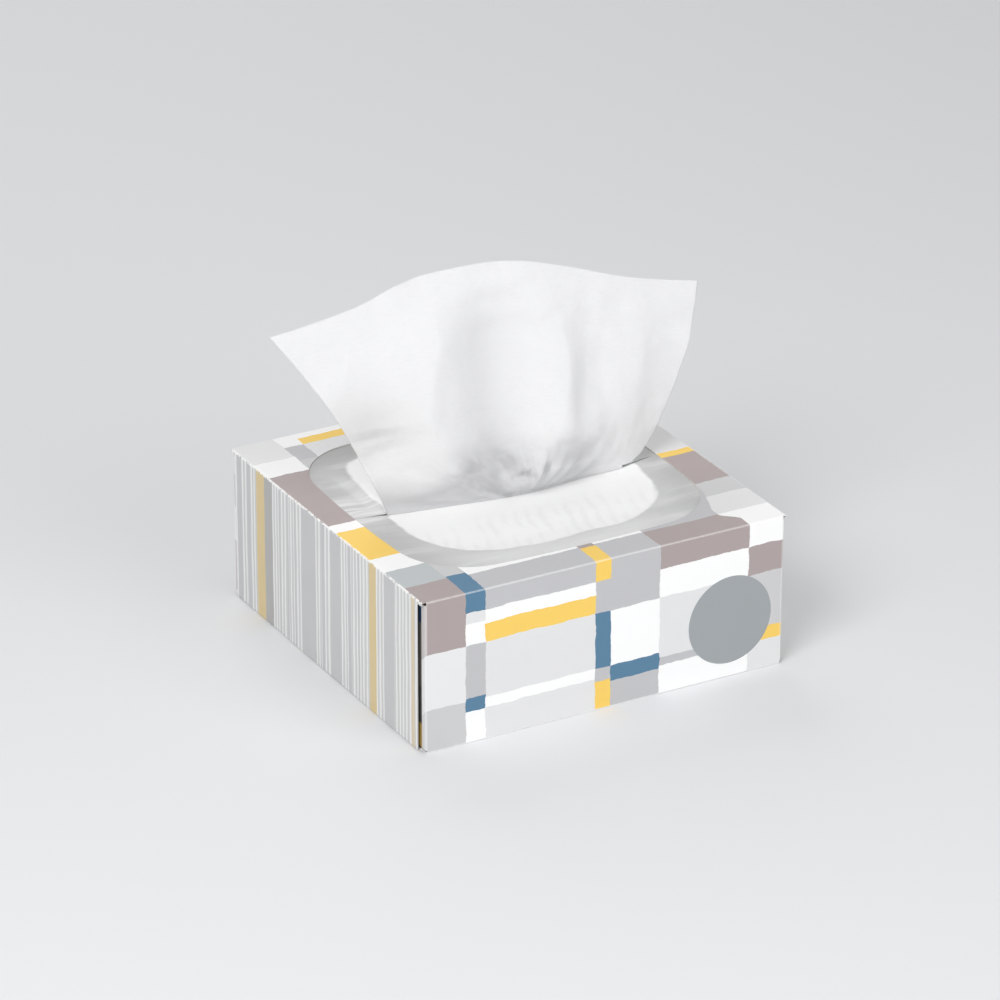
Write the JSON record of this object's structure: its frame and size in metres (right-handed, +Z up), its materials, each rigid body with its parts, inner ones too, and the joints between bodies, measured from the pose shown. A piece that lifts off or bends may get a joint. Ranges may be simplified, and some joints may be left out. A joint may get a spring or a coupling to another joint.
{
  "type": "tissue box",
  "caption": "Flat square paperboard tissue box with a slit film window in its top and one soft sheet standing raised through the slit.",
  "frame": {"origin": "middle of the box's underside, on the surface that it stands on", "axes": "+X along the slit to the right seen from the front panel, +Y from the front panel to the back panel, +Z up"},
  "size_m": [0.253, 0.236, 0.229],
  "materials": {
    "printed_board": "satin",
    "frosted_film": "satin",
    "tissue_paper": "matte"
  },
  "bodies": {
    "root": {"carton": "printed_board", "window_film": "frosted_film", "tissue_stack": "tissue_paper", "raised_tissue": "tissue_paper"}
  },
  "joints": []
}
